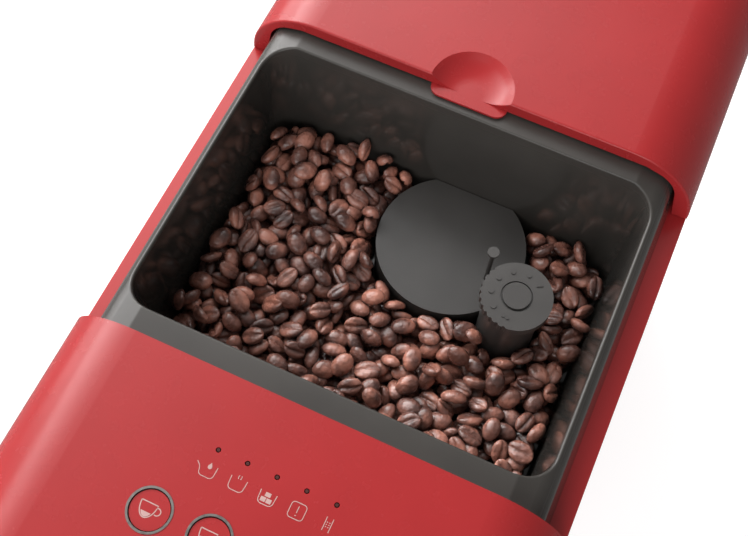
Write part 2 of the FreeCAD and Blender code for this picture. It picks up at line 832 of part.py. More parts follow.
# Rear: bulkhead with the tank shelf and socket, lower rear cover, deck under the lid
def make_rear():
    wall = box(-inside_half, inside_half, bulkhead_front, bulkhead_rear, base_top,
               ledge - panel_wall)
    shelf = box(-inside_half, inside_half, bulkhead_rear, rear - rear_corner,
                shelf_height - panel_wall, shelf_height)
    socket = rod_back(valve_x, valve_z, socket_front, bulkhead_front, socket_radius)
    nipple = rod_back(valve_x, valve_z, socket_front - nipple_length, socket_front, hose_bore)
    bore = rod_back(valve_x, valve_z, bulkhead_front - valve_reach, bulkhead_rear + 1,
                    valve_radius + play)
    piece("rear_bulkhead", cut(fuse(wall, shelf, socket, nipple), bore))
    outer = slab(rectangle(-panel_half, panel_half, rear_wrap_front, rear, rear=rear_corner),
                 base_top, shelf_height)
    inner = slab(rectangle(-inner_half, inner_half, rear_wrap_front - 1, rear - panel_wall,
                           rear=rear_corner - panel_wall), base_top - 1, shelf_height + 1)
    hole = box(inlet_x - inlet_half_width - play, inlet_x + inlet_half_width + play,
               rear - panel_wall - 1, rear + 1, inlet_z - inlet_half_height - play,
               inlet_z + inlet_half_height + play)
    vents = []
    for number in range(int(vent_count.value)):
        x = vent_pitch * (number - (vent_count.value - 1) / 2)
        vents.append(run_back(rectangle(x - vent_width / 2, x + vent_width / 2, vent_bottom,
                                        vent_bottom + vent_height), rear - panel_wall - 1, rear + 1))
    piece("rear_cover", cut(outer, inner, hole, *vents))
    deck_rear = lid_rear - lid_lift
    piece("rear_deck", cut(
        run_back(deck_section(dim(0), ledge), hopper_rear + play, deck_rear),
        run_back(deck_section(deck_wall, ledge - 1), hopper_rear - 1, deck_rear - deck_wall)))


# Bean hopper: deck with a mouth, drafted walls and a floor with the grinder's throat
def hopper_plan(grow, narrowing):
    side = opening_width / 2 + grow - narrowing
    return rectangle(-side, side, opening_front - grow + narrowing,
                     opening_rear + grow - narrowing,
                     opening_corner + grow - narrowing, opening_corner + grow - narrowing)


def hopper_well(grow, bottom):
    slope = hopper_draft / hopper_depth
    rise = 2
    return loft(flat_sketch(hopper_plan(dim(grow), (deck_top - bottom) * slope), bottom),
                flat_sketch(hopper_plan(dim(grow), -slope * rise), deck_top + rise))


def on_mouth(edge):
    side = opening_width.value / 2 + play.value
    return (edge.ZMin > (deck_top - deck_shoulder_drop * 2).value and edge.XMin > -side
            and edge.XMax < side and edge.YMin > (opening_front - play).value
            and edge.YMax < (opening_rear + play).value)


def make_hopper():
    deck_front = cover_rear - hopper_tuck
    solid = run_back(deck_section(dim(0), ledge), deck_front, hopper_rear)
    under = run_back(deck_section(deck_wall, ledge - 1), deck_front - 1, hopper_rear + 1)
    reach = box(-half, half, deck_front, hopper_rear, floor_bottom - 1, ledge + 1)
    walls = common(hopper_well(hopper_wall, floor_bottom),
                   fuse(run_back(deck_section(dim(0), ledge), deck_front, hopper_rear), reach))
    catch = box(-catch_width / 2, catch_width / 2, cover_rear - catch_length * 2 / 3,
                cover_rear + catch_length / 3, deck_top - catch_depth, deck_top + 1)
    throat = rod(tower_x, tower_y, floor_bottom - 1, floor_top + 1, throat_radius)
    spindle = rod(dial_x, dial_y, floor_bottom - 1, floor_top + 1, spindle_radius + shaft_play)
    hopper = cut(fuse(cut(solid, under), walls), hopper_well(dim(0), floor_top), catch, throat,
                 spindle)
    piece("bean_hopper", ease(hopper, mouth_round, on_mouth))


# Sliding lid: end wall close over the deck, thumb scoop, tongue that tucks under the front cover
def on_lid_end(edge):
    return edge.YMax < lid_front.value + play.value and edge.ZMax > ledge.value


def make_lid():
    below = ledge - cover_wall * 2
    wall_rear = lid_front + cover_wall
    arch = ease(run_back(arch_section(dim(0), below), lid_front, lid_rear), lid_edge, on_lid_end)
    shell = cut(arch,
                run_back(arch_section(cover_wall, below - 1), wall_rear, lid_rear + 1),
                run_back(deck_section(-lip_gap, ledge, lip_shoulder), lid_front - 1, wall_rear),
                box(-width, width, lid_front - 1, lid_rear + 1, below - 1, ledge + lid_lift))
    scoop_y = lid_front + scoop_set_in
    scoop_floor = height - scoop_depth
    cup_bottom = scoop_floor - tongue_thick
    boss = common(rod(0, scoop_y, cup_bottom, height - cover_wall, dim(tongue_half)),
                  box(-half, half, lid_front, lid_rear, cup_bottom, height))
    tongue = slab(rectangle(-tongue_half, tongue_half, lid_front - tongue_reach,
                            lid_front + scoop_radius / 2, front=tongue_corner),
                  cup_bottom, scoop_floor)
    dish = turned([(0, scoop_floor), (scoop_floor_radius, scoop_floor, scoop_roll),
                   (scoop_radius, height), (scoop_radius, height + 1), (0, height + 1)],
                  0, scoop_y)
    piece("hopper_lid", fuse(cut(fuse(shell, boss), dish), tongue))


# Buttons, their rings, light guides and the board under them
def make_controls():
    stem_bottom = button_bottom - button_stem_length
    for number, (x, y) in enumerate(button_spots, 1):
        flange_top = button_bottom + button_flange_thick
        turned_body(f"drink_button_{number}", [
            (0, stem_bottom), (button_stem, stem_bottom), (button_stem, button_bottom),
            (button_flange, button_bottom), (button_flange, flange_top),
            (button_radius, flange_top), (button_radius, button_top), (0, button_top)], x, y)
    rings = [turned([(ring_outer - ring_band, height - ring_sink),
                     (ring_outer, height - ring_sink), (ring_outer, height + ring_proud),
                     (ring_outer - ring_band, height + ring_proud)], x, y)
             for x, y in button_spots]
    piece("button_rings", group(*rings))
    piece("light_guides", group(*[rod(x, y, board_top, height, dim(light_radius))
                                  for x, y in light_spots]))
    board = box(-board_half, board_half, board_front, board_rear, board_top - board_thick,
                board_top)
    switches = [box(x - switch_half, x + switch_half, y - switch_half, y + switch_half,
                    board_top, board_top + switch_height) for x, y in button_spots]
    holes = [rod(x, y, board_top - board_thick - 1, board_top + 1, dim(board_screw))
             for x, y in board_boss_spots]
    piece("control_board", cut(fuse(board, *switches), *holes))
    head = board_top - board_thick
    screws = [turned([(0, head - 2), (board_screw_head, head - 2), (board_screw_head, head),
                      (board_screw, head), (board_screw, head + board_screw_length - 1),
                      (0, head + board_screw_length - 1)], x, y) for x, y in board_boss_spots]
    piece("board_screws", group(*screws))


# Grinder cover in the hopper: tower, post for the dial, pointer pin
def make_grinder_cover():
    shell = rod(tower_x, tower_y, floor_top, tower_top, tower_radius)
    room = rod(tower_x, tower_y, floor_top - 1, tower_top - tower_wall, tower_radius - tower_wall)
    post = rod(dial_x, dial_y, floor_top, dial_bottom - play, post_radius)
    bore = rod(dial_x, dial_y, floor_top - 1, dial_bottom + 1, spindle_radius + shaft_play)
    reach = tower_radius + 2
    windows = [box(tower_x - reach, tower_x, tower_y - window_width / 2,
                   tower_y + window_width / 2, floor_top - 1, floor_top + window_height),
               box(tower_x - window_width / 2, tower_x + window_width / 2, tower_y - reach,
                   tower_y, floor_top - 1, floor_top + window_height)]
    body = common(fuse(cut(shell, room, *windows), post), hopper_well(-play, floor_top))
    pin_x = tower_x + pin_dx
    pin_y = tower_y + pin_dy
    pin_top = tower_top + pin_rise
    pin = fuse(rod(pin_x, pin_y, tower_top - 1, pin_top, pin_radius),
               rod(pin_x, pin_y, pin_top - pin_head_thick, pin_top, pin_head))
    piece("grinder_cover", fuse(cut(body, bore), pin))


# Grind dial with a scalloped grip and marks from coarse to fine, on its spindle and pinion
def dial_mark(turn, reach):
    heading = math.radians(turn.value)
    return dial_x + reach * math.cos(heading), dial_y + reach * math.sin(heading)


def make_dial():
    disc = turned([
        (0, dial_bottom), (dial_radius, dial_bottom), (dial_radius, dial_top),
        (dial_cap + dial_groove, dial_top), (dial_cap + dial_groove, dial_top - dial_groove),
        (dial_cap, dial_top - dial_groove), (dial_cap, dial_top + dial_cap_rise),
        (0, dial_top + dial_cap_rise)], dial_x, dial_y)
    scallops = []
    for number in range(int(scallop_count.value)):
        x, y = dial_mark(scallop_start + scallop_step * number, dial_radius + scallop_radius / 3)
        scallops.append(rod(x, y, dial_bottom - 1, dial_top + 1, dim(scallop_radius)))
    marks = []
    for number in range(5):
        x, y = dial_mark(mark_start - mark_step * number, mark_ring)
        marks.append(rod(x, y, dial_top - 1, dial_top + mark_rise,
                         mark_radius - mark_shrink * number))
    for turn in (mark_start + mark_step - mark_twin, mark_start + mark_step + mark_twin):
        x, y = dial_mark(turn, mark_ring)
        marks.append(rod(x, y, dial_top - 1, dial_top + mark_rise, mark_radius / 2))
    tip = mark_start - mark_step * 5 + mark_twin
    arrow = [dial_mark(tip, mark_ring - mark_radius), dial_mark(tip - mark_twin, mark_ring + mark_radius),
             dial_mark(tip + mark_twin, mark_ring + mark_radius)]
    marks.append(slab(arrow, dial_top - 1, dial_top + mark_rise))
    socket = rod(dial_x, dial_y, dial_bottom - 1, dial_bottom + spindle_grip, dim(spindle_radius))
    piece("grind_dial", cut(fuse(disc, *marks), socket, *scallops))
    pinion = feature(gear(int(pinion_teeth.value), dial_reach * pinion_share,
                          adjuster_thick.value, dial_heading + math.pi))
    move_to(pinion, dial_x, dial_y, adjuster_bottom)
    shaft = rod(dial_x, dial_y, adjuster_bottom, dial_bottom + spindle_grip, dim(spindle_radius))
    piece("dial_spindle", fuse(pinion, shaft))


# Grinder below the hopper: housing, adjuster ring, two burrs
def make_grinder():
    ring_tip = dial_reach * ring_share * (1 + 2 * tooth_height.value / ring_teeth.value)
    bowl_radius = dim(ring_tip) + gear_room
    outer = rod(tower_x, tower_y, housing_bottom, floor_bottom, bowl_radius + housing_wall)
    bowl = rod(tower_x, tower_y, adjuster_bottom - play, floor_bottom + 1, bowl_radius)
    room = rod(tower_x, tower_y, chamber_floor, floor_bottom, burr_ring_radius + play)
    bearing = rod(tower_x, tower_y, housing_bottom - 1, floor_bottom,
                  burr_shaft_radius + shaft_play)
    pinion_room = rod(dial_x, dial_y, adjuster_bottom - play, floor_bottom + 1,
                      dim(dial_reach * pinion_share * 1.3) + gear_room)
    outlet = box(tower_x - exit_half, tower_x + exit_half,
                 tower_y - bowl_radius - housing_wall - 1, tower_y, chamber_floor,
                 burr_bottom - play)
    piece("grinder_housing", cut(outer, bowl, room, bearing, pinion_room, outlet))
    teeth = feature(gear(int(ring_teeth.value), dial_reach * ring_share, adjuster_thick.value,
                         dial_heading + half_tooth))
    move_to(teeth, tower_x, tower_y, adjuster_bottom)
    piece("adjuster_ring", cut(teeth, rod(tower_x, tower_y, adjuster_bottom - 1, adjuster_top + 1,
                                          burr_ring_radius + shaft_play)))
    turned_body("upper_burr", [
        (burr_ring_exit, burr_bottom), (burr_ring_radius, burr_bottom),
        (burr_ring_radius, burr_top), (burr_ring_throat, burr_top)], tower_x, tower_y)
    cone = turned([(0, burr_bottom), (cone_foot, burr_bottom), (cone_top, burr_top),
                   (0, burr_top)], tower_x, tower_y)
    flutes = []
    for number in range(int(flute_count.value)):
        flute = doc.addObject("Part::Cylinder", "flute")
        bind(flute, "Radius", flute_radius)
        bind(flute, "Height", burr_ring_height * 2)
        lean = math.degrees(math.atan2(cone_foot.value - cone_top.value, burr_ring_height.value))
        turn = FreeCAD.Rotation(Vector(0, 0, 1), 360 * number / flute_count.value)
        flute.Placement.Rotation = turn.multiply(FreeCAD.Rotation(Vector(0, 1, 0), -lean))
        heading = math.radians(360 * number / flute_count.value)
        flutes.append(move_to(flute, tower_x + (cone_foot + flute_radius / 2) * math.cos(heading),
                              tower_y + (cone_foot + flute_radius / 2) * math.sin(heading),
                              burr_bottom))
    piece("lower_burr", cut(cone, *flutes))


# Grinder drive: gear case, burr gear, motor and its pinion
def make_grinder_drive():
    gear_radius = drive_reach * ring_share
    pinion_radius = drive_reach * pinion_share
    gear_space = gear_radius + drive_reach * (2 / teeth_in_mesh) + gear_room
    pinion_space = pinion_radius + drive_reach * (2 / teeth_in_mesh) + gear_room
    case = fuse(rod(tower_x, tower_y, case_bottom, housing_bottom, gear_space + gear_case_wall),
                rod(tower_x, motor_y, case_bottom, housing_bottom, pinion_space + gear_case_wall))
    inside = fuse(rod(tower_x, tower_y, case_bottom + gear_case_wall, housing_bottom + 1,
                      gear_space),
                  rod(tower_x, motor_y, case_bottom + gear_case_wall, housing_bottom + 1,
                      pinion_space))
    shaft_hole = rod(tower_x, tower_y, case_bottom - 1, housing_bottom,
                     burr_shaft_radius + shaft_play)
    motor_hole = rod(tower_x, motor_y, case_bottom - 1, housing_bottom,
                     motor_shaft_radius + shaft_play)
    piece("gear_case", cut(case, inside, shaft_hole, motor_hole))
    wheel = feature(gear(int(ring_teeth.value), gear_radius.value, drive_gear_thick.value,
                         math.pi / 2 + half_tooth))
    move_to(wheel, tower_x, tower_y, drive_gear_bottom)
    piece("burr_gear", fuse(wheel, rod(tower_x, tower_y, case_bottom, burr_bottom,
                                       dim(burr_shaft_radius))))
    pinion = feature(gear(int(pinion_teeth.value), pinion_radius.value, drive_gear_thick.value,
                          -math.pi / 2))
    move_to(pinion, tower_x, motor_y, drive_gear_bottom)
    shaft = rod(tower_x, motor_y, case_bottom - motor_shaft_grip,
                drive_gear_bottom + drive_gear_thick, dim(motor_shaft_radius))
    piece("motor_pinion", fuse(pinion, shaft))
    can_bottom = case_bottom - motor_length
    can = turned([(0, can_bottom), (motor_radius - 2, can_bottom), (motor_radius, can_bottom + 2),
                  (motor_radius, case_bottom - 2), (motor_radius - 2, case_bottom),
                  (0, case_bottom)], tower_x, motor_y)
    piece("grinder_motor", cut(can, rod(tower_x, motor_y, case_bottom - motor_shaft_grip - play,
                                        case_bottom + 1, motor_shaft_radius + shaft_play)))


# Chute that carries ground coffee forward to the brewing chamber
def make_chute():
    bowl = dial_reach * ring_share * (1 + 2 * tooth_height.value / ring_teeth.value)
    housing_radius = dim(bowl) + gear_room + housing_wall
    neck_top = brew_top + chamber_flange_thick + chamber_neck
    drop = neck_top + play + 4

    def duct(shrink):
        x0, x1 = tower_x - exit_half + shrink, tower_x + exit_half - shrink
        upper = front_sketch(rectangle(x0, x1, housing_bottom + shrink, burr_bottom - shrink),
                             tower_y - housing_radius + housing_wall)
        lower = front_sketch(rectangle(-exit_half + shrink, exit_half - shrink, neck_top + play
                                       + shrink, drop + 8 - shrink), brew_y - exit_half)
        return loft(upper, lower)

    wall = dim(1.5)
    mouth = box(-exit_half + wall, exit_half - wall, brew_y - exit_half + wall, brew_y + exit_half,
                neck_top, drop)
    housing = rod(tower_x, tower_y, housing_bottom - 1, floor_bottom, housing_radius)
    piece("grounds_chute", cut(duct(dim(0)), duct(wall), mouth, housing))


# Brewing unit: frame, chamber, piston, screw and its motor
def make_brewer():
    frame = box(-brew_half, brew_half, brew_front, chassis_front, brew_floor, brew_top)
    room = box(-brew_half + brew_cheek, brew_half - brew_cheek, brew_front - 1, chassis_front + 1,
               brew_deck, brew_top - brew_plate)
    seat = rod(0, brew_y, brew_top - brew_plate - 1, brew_top + 1, chamber_radius + play)
    bearing = rod(0, brew_y, brew_floor - 1, brew_deck + 1, screw_radius + shaft_play)
    piece("brew_frame", cut(frame, room, seat, bearing))
    chamber_bottom = brew_top - chamber_hang
    neck_top = brew_top + chamber_flange_thick + chamber_neck
    turned_body("brew_chamber", [
        (chamber_bore, chamber_bottom), (chamber_radius, chamber_bottom),
        (chamber_radius, brew_top), (chamber_flange, brew_top),
        (chamber_flange, brew_top + chamber_flange_thick),
        (chamber_radius, brew_top + chamber_flange_thick), (chamber_radius, neck_top),
        (chamber_bore, neck_top)], 0, brew_y)
    crown = brew_floor + piston_height
    head = chamber_bore - play
    rod_foot = crown - piston_rod_length
    turned_body("brew_piston", [
        (screw_radius + shaft_play, rod_foot), (piston_rod, rod_foot), (piston_rod, crown),
        (head, crown), (head, crown + piston_thick / 3), (head - piston_groove,
                                                          crown + piston_thick / 3),
        (head - piston_groove, crown + piston_thick * 2 / 3), (head, crown + piston_thick * 2 / 3),
        (head, crown + piston_thick), (0, crown + piston_thick), (0, crown + piston_thick / 2),
        (screw_radius + shaft_play, crown + piston_thick / 2)], 0, brew_y)
    screw_foot = brew_floor - screw_below
    collar = brew_deck + play
    turned_body("brew_screw", [
        (0, screw_foot), (screw_radius, screw_foot), (screw_radius, collar),
        (screw_collar, collar), (screw_collar, collar + screw_collar_thick / 2),
        (screw_radius, collar + screw_collar_thick / 2), (screw_radius, brew_deck + screw_above),
        (0, brew_deck + screw_above)], 0, brew_y)
    gearbox = box(-brew_motor_half, brew_motor_half, brew_y - brew_motor_half,
                  brew_y + brew_motor_half, brew_floor - brew_motor_height, brew_floor)
    piece("brew_motor", cut(gearbox, rod(0, brew_y, brew_floor - screw_below - play,
                                         brew_floor + 1, screw_radius + shaft_play)))


# Chassis plate that carries the brewing unit and the heater
def make_chassis():
    plate = box(-inside_half, inside_half, chassis_front, chassis_back, base_top,
                brew_top)
    cable_middle = (base_top + brew_top) / 2
    cable_way = box(power_board_x - 10, inside_half + 1, chassis_front - 1, chassis_back + 1,
                    cable_middle, cable_middle + 30)
    piece("chassis", cut(plate, cable_way))


# Heater, pump and hoses
def make_water_path():
    boiler_top = boiler_bottom + boiler_height
    block = box(boiler_x - boiler_half, boiler_x + boiler_half, chassis_back,
                chassis_back + boiler_length, boiler_bottom, boiler_top)
    grooves = [box(boiler_x + boiler_half - 3, boiler_x + boiler_half + 1,
                   chassis_back + boiler_length * share - boiler_groove / 2,
                   chassis_back + boiler_length * share + boiler_groove / 2,
                   boiler_bottom - 1, boiler_top + 1) for share in (0.25, 0.5, 0.75)]
    inlet = rod(boiler_x, boiler_inlet, boiler_bottom - nipple_length, boiler_bottom + 1,
                dim(hose_bore))
    outlet = rod(boiler_x, boiler_y, boiler_top - 1, boiler_top + nipple_length, dim(hose_bore))
    piece("thermoblock", fuse(cut(block, *grooves), inlet, outlet))
    coil = rod_back(pump_x, pump_z, pump_front, pump_rear, dim(pump_radius))
    stub = rod_back(pump_x, pump_z, pump_front - nipple_length, pump_front + 1, dim(hose_bore))
    tail = rod_back(pump_x, pump_z, pump_rear - 1, pump_rear + nipple_length, dim(hose_bore))
    cradle = box(pump_x - pump_radius, pump_x + pump_radius, pump_front + pump_foot,
                 pump_rear - pump_foot, base_top, pump_z)
    piece("pump", fuse(coil, stub, tail, cradle))
    x, z = pump_x.value, pump_z.value
    inner, outer, bend = hose_bore.value, hose_radius.value, hose_bend.value
    tank_end = socket_front.value - nipple_length.value
    suction = [(x, pump_rear.value + 1, z), (x, tank_end - 14, z),
               (x, tank_end - 14, valve_z.value), (x, socket_front.value - 1, valve_z.value)]
    piece("tank_hose", feature(hose(suction, outer, inner, bend)))
    side, middle = boiler_x.value, boiler_y.value
    rise = z + (boiler_bottom.value - z) * 0.3
    turn = boiler_inlet.value
    lift = [(x, pump_front.value - 1, z), (x, turn, z), (side, turn, rise),
            (side, turn, boiler_bottom.value - 1)]
    neck = brew_top.value + chamber_flange_thick.value + chamber_neck.value / 2
    supply = [(side, middle, boiler_top.value + 1), (side, middle, neck), (side, brew_y.value, neck),
              (-chamber_radius.value - 0.2, brew_y.value, neck)]
    piece("pressure_hoses", feature(Part.makeCompound([
        hose(lift, outer, inner, bend), hose(supply, outer, inner, 6)])))


# Water tank with its cover and valve
def make_tank():
    body = new_body("water_tank")
    pad(body, rectangle(-panel_half, panel_half, tank_front, rear, rear=rear_corner),
        tank_bottom, tank_top)
    pocket(body, rectangle(-panel_half + tank_wall, panel_half - tank_wall,
                           tank_front + tank_wall, rear - tank_wall,
                           rear=rear_corner - tank_wall), tank_bottom + tank_wall, tank_top)
    doc.recompute()
    pieces.remove(body)
    hole = rod_back(valve_x, valve_z, tank_front - 1, tank_front + tank_wall + 1,
                    dim(valve_radius))
    body.Label = "tank_shell"
    piece("water_tank", cut(body, hole))
    piece("tank_lid", slab(rectangle(-panel_half, panel_half, tank_front, rear, rear=rear_corner),
                           tank_top, tank_top + tank_lid_thick))
    stem = rod_back(valve_x, valve_z, tank_front - valve_reach, tank_front + tank_wall,
                    dim(valve_radius))
    collar = rod_back(valve_x, valve_z, tank_front + tank_wall,
                      tank_front + tank_wall + valve_flange_thick, dim(valve_flange))
    way = rod_back(valve_x, valve_z, tank_front - valve_reach - 1,
                   tank_front + tank_wall + valve_flange_thick + 1, dim(hose_radius))
    piece("tank_valve", cut(fuse(stem, collar), way))


# Coffee spout that slides through the underside of the head
def spout_plan(grow):
    return rectangle(-spout_half - grow, spout_half + grow, spout_front - grow, spout_rear + grow,
                     spout_corner + grow, spout_corner + grow)


def make_spout():
    top = spout_bottom + spout_height
    shell = slab(spout_plan(dim(0)), spout_bottom, top)
    room = slab(spout_plan(-spout_wall), spout_bottom + spout_wall, top + 1)
    nozzles = [rod(nozzle_spread * side, spout_y, spout_bottom - nozzle_length,
                   spout_bottom + 1, dim(nozzle_radius)) for side in (-1, 1)]
    bores = [rod(nozzle_spread * side, spout_y, spout_bottom - nozzle_length - 1,
                 spout_bottom + spout_wall + 1, dim(nozzle_bore)) for side in (-1, 1)]
    piece("coffee_spout", cut(fuse(cut(shell, room), *nozzles), *bores))


# Drip tray with its sled, grille, float and the grounds bin behind it
def tray_plan(shrink):
    return rectangle(-panel_half + shrink, panel_half - shrink, front + shrink,
                     tray_rear - shrink, front=tray_corner - shrink)


def make_tray():
    basin = cut(slab(tray_plan(dim(0)), tray_bottom, tray_top),
                slab(tray_plan(tray_wall + play), tray_top - grille_thick, tray_top + 1),
                slab(tray_plan(tray_wall + tray_ledge), tray_floor, tray_top))
    sled = box(-sled_half, sled_half, tray_rear - tray_wall, sled_rear, tray_bottom, tray_floor)
    piece("drip_tray", fuse(basin, sled))
    float_y = tray_rear - tray_wall - tray_ledge - float_setback
    grille = new_body("cup_grille")
    pad(grille, tray_plan(tray_wall + play * 2), tray_top - grille_thick, tray_top)
    pieces.remove(grille)
    grille.Label = "grille_blank"
    first = -slot_pitch * ((slot_count.value - 1) / 2)
    middle = (front + tray_rear) / 2
    slots = []
    for number in range(int(slot_count.value)):
        x = first + slot_pitch * number
        for y0 in (middle - slot_gap / 2 - slot_length, middle + slot_gap / 2):
            slots.append(slab(rectangle(x - slot_width / 2, x + slot_width / 2, y0,
                                        y0 + slot_length, slot_width / 2 - 0.01,
                                        slot_width / 2 - 0.01), tray_top - 5, tray_top + 1))
    peep = rod(float_x, float_y, tray_top - 5, tray_top + 1, float_stem + play)
    piece("cup_grille", cut(grille, peep, *slots))
    turned_body("tray_float", [
        (0, tray_floor), (float_radius, tray_floor), (float_radius, tray_floor + float_body),
        (float_stem, tray_floor + float_body), (float_stem, tray_top + float_proud),
        (0, tray_top + float_proud)], float_x, float_y)
    bin_body = new_body("grounds_bin")
    bin_front = tray_rear + lid_lift
    bin_rear = sled_rear - play
    pad(bin_body, rectangle(-bin_half, bin_half, bin_front, bin_rear, dim(4), dim(4)),
        tray_floor, tray_floor + bin_height)
    pocket(bin_body, rectangle(-bin_half + bin_wall, bin_half - bin_wall, bin_front + bin_wall,
                               bin_rear - bin_wall, dim(3), dim(3)),
           tray_floor + bin_wall, tray_floor + bin_height)


# Power board on the right side panel and the mains inlet at the rear
def make_electrics():
    x1 = power_board_x
    board_head = dim(power_board_bottom) + power_board_height
    relay_foot = power_board_bottom + standoff_inset * 2
    board = box(x1 - board_thick, x1, power_board_front, power_board_rear, power_board_bottom,
                board_head)
    relays = [box(x1 - board_thick - relay_depth, x1 - board_thick,
                  power_board_front + power_board_length * share,
                  power_board_front + power_board_length * (share + 0.18),
                  relay_foot, relay_foot + relay_height) for share in (0.12, 0.4, 0.68)]
    posts = []
    for y in (power_board_front + standoff_inset, power_board_rear - standoff_inset):
        for z in (power_board_bottom + standoff_inset, board_head - standoff_inset):
            post = doc.addObject("Part::Cylinder", "standoff")
            post.Placement.Rotation = FreeCAD.Rotation(Vector(0, 1, 0), 90)
            bind(post, "Radius", standoff_radius)
            bind(post, "Height", inner_half - x1)
            posts.append(move_to(post, x1, y, z))
    piece("power_board", fuse(board, *relays, *posts))
    shell = box(inlet_x - inlet_half_width, inlet_x + inlet_half_width, rear - inlet_length, rear,
                inlet_z - inlet_half_height, inlet_z + inlet_half_height)
    room = box(inlet_x - inlet_half_width + inlet_wall, inlet_x + inlet_half_width - inlet_wall,
               rear - inlet_length + inlet_back, rear + 1,
               inlet_z - inlet_half_height + inlet_wall, inlet_z + inlet_half_height - inlet_wall)
    blades = [box(inlet_x + side - 1, inlet_x + side + 1, rear - inlet_length + inlet_back - 1,
                  rear - inlet_wall, inlet_z - 2, inlet_z + 2) for side in (-7, 0, 7)]
    piece("mains_inlet", fuse(cut(shell, room), *blades))


# Coffee beans lying in the hopper
def make_beans():
    heap = common(hopper_well(-play, floor_top + play), box(
        -half, half, opening_front, opening_rear, floor_top, floor_top + bean_level))
    tower = rod(tower_x, tower_y, floor_top - 1, floor_top + bean_level + 1, tower_radius + play)
    post = rod(dial_x, dial_y, floor_top - 1, floor_top + bean_level + 1, post_radius + play)
    piece("coffee_beans", cut(heap, tower, post))


make_base()
make_sides()
make_front()
make_front_cover()
make_rear()
make_hopper()
make_lid()
make_controls()
make_grinder_cover()
make_dial()
make_grinder()
make_grinder_drive()
make_chute()
make_brewer()
make_chassis()
make_water_path()
make_tank()
make_spout()
make_tray()
make_electrics()
make_beans()
doc.recompute()

# Check and export every piece
os.makedirs("parts", exist_ok=True)
for thing in doc.Objects:
    if "Invalid" in thing.State or "Error" in thing.State:
        raise RuntimeError(f"{thing.Name} did not build: {thing.State}")
for thing in pieces:
    if not thing.Shape.isValid() or not thing.Shape.Solids:
        raise RuntimeError(f"{thing.Label} is not a sound solid")
    thing.Shape.exportStep(f"parts/{thing.Label}.step")
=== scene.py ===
"""Bean-to-cup coffee machine seen from above, its hopper open over the beans."""
import json
import math
import random

import bpy
import numpy as np
from mathutils import Matrix, Vector


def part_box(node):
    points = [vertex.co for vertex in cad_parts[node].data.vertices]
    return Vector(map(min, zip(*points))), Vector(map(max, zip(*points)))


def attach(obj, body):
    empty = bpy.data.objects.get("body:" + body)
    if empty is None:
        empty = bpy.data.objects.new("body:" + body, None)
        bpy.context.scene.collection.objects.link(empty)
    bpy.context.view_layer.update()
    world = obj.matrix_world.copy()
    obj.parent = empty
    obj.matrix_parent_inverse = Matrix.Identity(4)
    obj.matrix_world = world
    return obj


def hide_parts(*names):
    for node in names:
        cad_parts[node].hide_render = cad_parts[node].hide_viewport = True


MM = 0.001
UP = Vector((0, 0, 1))

# Camera solved from the photograph's straight edges: angles, film in mm, clipping and place in m
CAMERA_TURN, CAMERA_RISE, CAMERA_ROLL = (math.radians(angle) for angle in (20.95, 65.63, 3.89))
CAMERA_LENS, CAMERA_SENSOR, CAMERA_CLIP = 50.26, 36, 0.01
CAMERA_PLACE = Vector((0.04867, -0.1607, 0.65355))

# Soft box over the left rear, in m, with its strength at two distances along its heading
BOX_TURN = math.radians(60)
BOX_REACH, BOX_HEIGHT = 1.4, 1.34
BOX_WIDTH, BOX_DEPTH = 1.8, 2.4
BOX_NEAR, BOX_FAR = 0.2, 2.6
BOX_NEAR_STRENGTH, BOX_FAR_STRENGTH = 0.25, 16

# Flat panels: place, width and depth in m, radiance; all look at one point
PANELS = {
    "front_panel": ((0.1, -1.45, 1.0), 1.4, 1.3, 3.5),
    "left_strip": ((-2.3, 1.0, 0.75), 1.6, 0.9, 4.5),
}
PANEL_AIM = Vector((0, 0, 0.3))
SKY_LEFT, SKY_RIGHT = 0.5, 0.2
SKY_COLOUR = (1, 0.99, 0.98, 1)

FLOOR_REACH = 60.0
FLOOR_GLOW = 0.8

# Looks by material slot
PLASTICS = {
    "red_paint": dict(colour=(0.38, 0.0225, 0.0245), rough=0.25, grain=1100, depth=0.012,
                      cloud=0.03, shine=0.36, wear=0.03),
    # red_plastic is the red paint darkened to 0.81: painted shade for the side parts that stand in
    # shade
    "red_plastic": dict(colour=(0.3078, 0.018225, 0.019845), rough=0.27, grain=1300, depth=0.015,
                        cloud=0.03, shine=0.3, wear=0.03),
    "black_gloss": dict(colour=(0.045, 0.041, 0.037), rough=None, grain=800, depth=0.015,
                        cloud=0.1),
    "black_matte": dict(colour=(0.03, 0.029, 0.028), rough=0.48, grain=1800, depth=0.2,
                        cloud=0.15),
    "dark_grey": dict(colour=(0.047, 0.0435, 0.041), rough=0.36, grain=1600, depth=0.12,
                      cloud=0.1),
    "rubber": dict(colour=(0.015, 0.015, 0.015), rough=0.75, grain=1200, depth=0.3, cloud=0.2),
    "board": dict(colour=(0.02, 0.12, 0.05), rough=0.42, grain=500, depth=0.12, cloud=0.2),
    "lamp": dict(colour=(0.06, 0.02, 0.018), rough=0.4, grain=900, depth=0.05, cloud=0.1,
                 shine=0.15),
    "float_red": dict(colour=(0.5, 0.02, 0.015), rough=0.35, grain=900, depth=0.05, cloud=0.05),
    "print_white": dict(colour=(0.44, 0.28, 0.26), rough=0.5, grain=2500, depth=0.1, cloud=0.05,
                        shine=0.2),
}
METALS = {
    "satin_alloy": dict(colour=(0.56, 0.56, 0.57), rough=0.34, stretch=(0.02, 1, 1)),
    "bright_ring": dict(colour=(0.2, 0.185, 0.175), rough=0.34),
    "steel": dict(colour=(0.6, 0.6, 0.6), rough=0.28, stretch=(1, 0.03, 1)),
    "burr_steel": dict(colour=(0.5, 0.5, 0.52), rough=0.3),
    "brass_part": dict(colour=(0.62, 0.44, 0.18), rough=0.3),
}
CLEARS = {
    "smoke_clear": dict(colour=(0.36, 0.38, 0.4), rough=0.14),
    "hose_clear": dict(colour=(0.85, 0.86, 0.85), rough=0.3),
}

